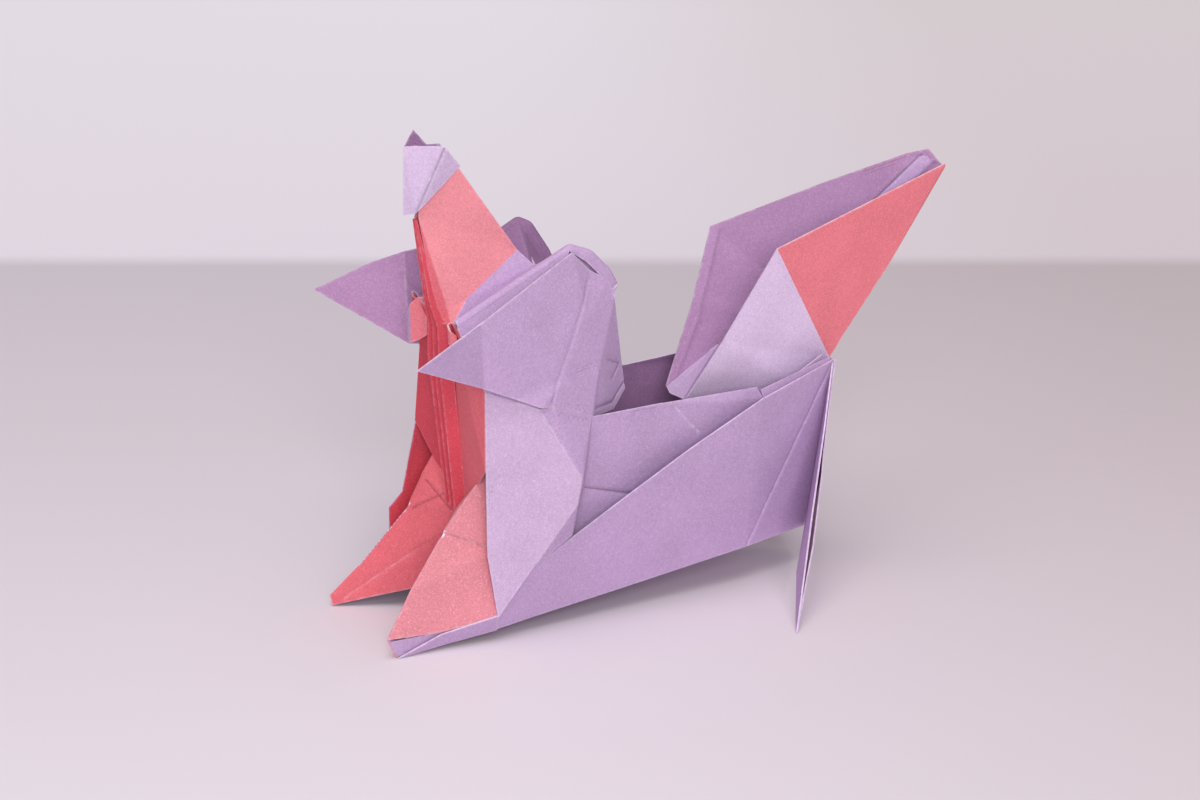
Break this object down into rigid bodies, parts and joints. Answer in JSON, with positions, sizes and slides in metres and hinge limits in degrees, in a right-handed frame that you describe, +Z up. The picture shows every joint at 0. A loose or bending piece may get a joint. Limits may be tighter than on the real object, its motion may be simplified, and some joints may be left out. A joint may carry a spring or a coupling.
{
  "type": "origami dog",
  "caption": "Small folded paper dog in a bowing pose, with raised snout, flat spread ears, pleated chest, boat-shaped body and upright folded tail.",
  "frame": {"origin": "centre of the bounding box's foot, on the surface that the dog stands on", "axes": "+X from the head to the tail, +Y to the dog's right flank, +Z up"},
  "size_m": [0.0946, 0.0542, 0.0702],
  "materials": {
    "paper": "matte, lavender outside and coral inside"
  },
  "bodies": {
    "root": {"folded_sheet": "paper"}
  },
  "joints": []
}
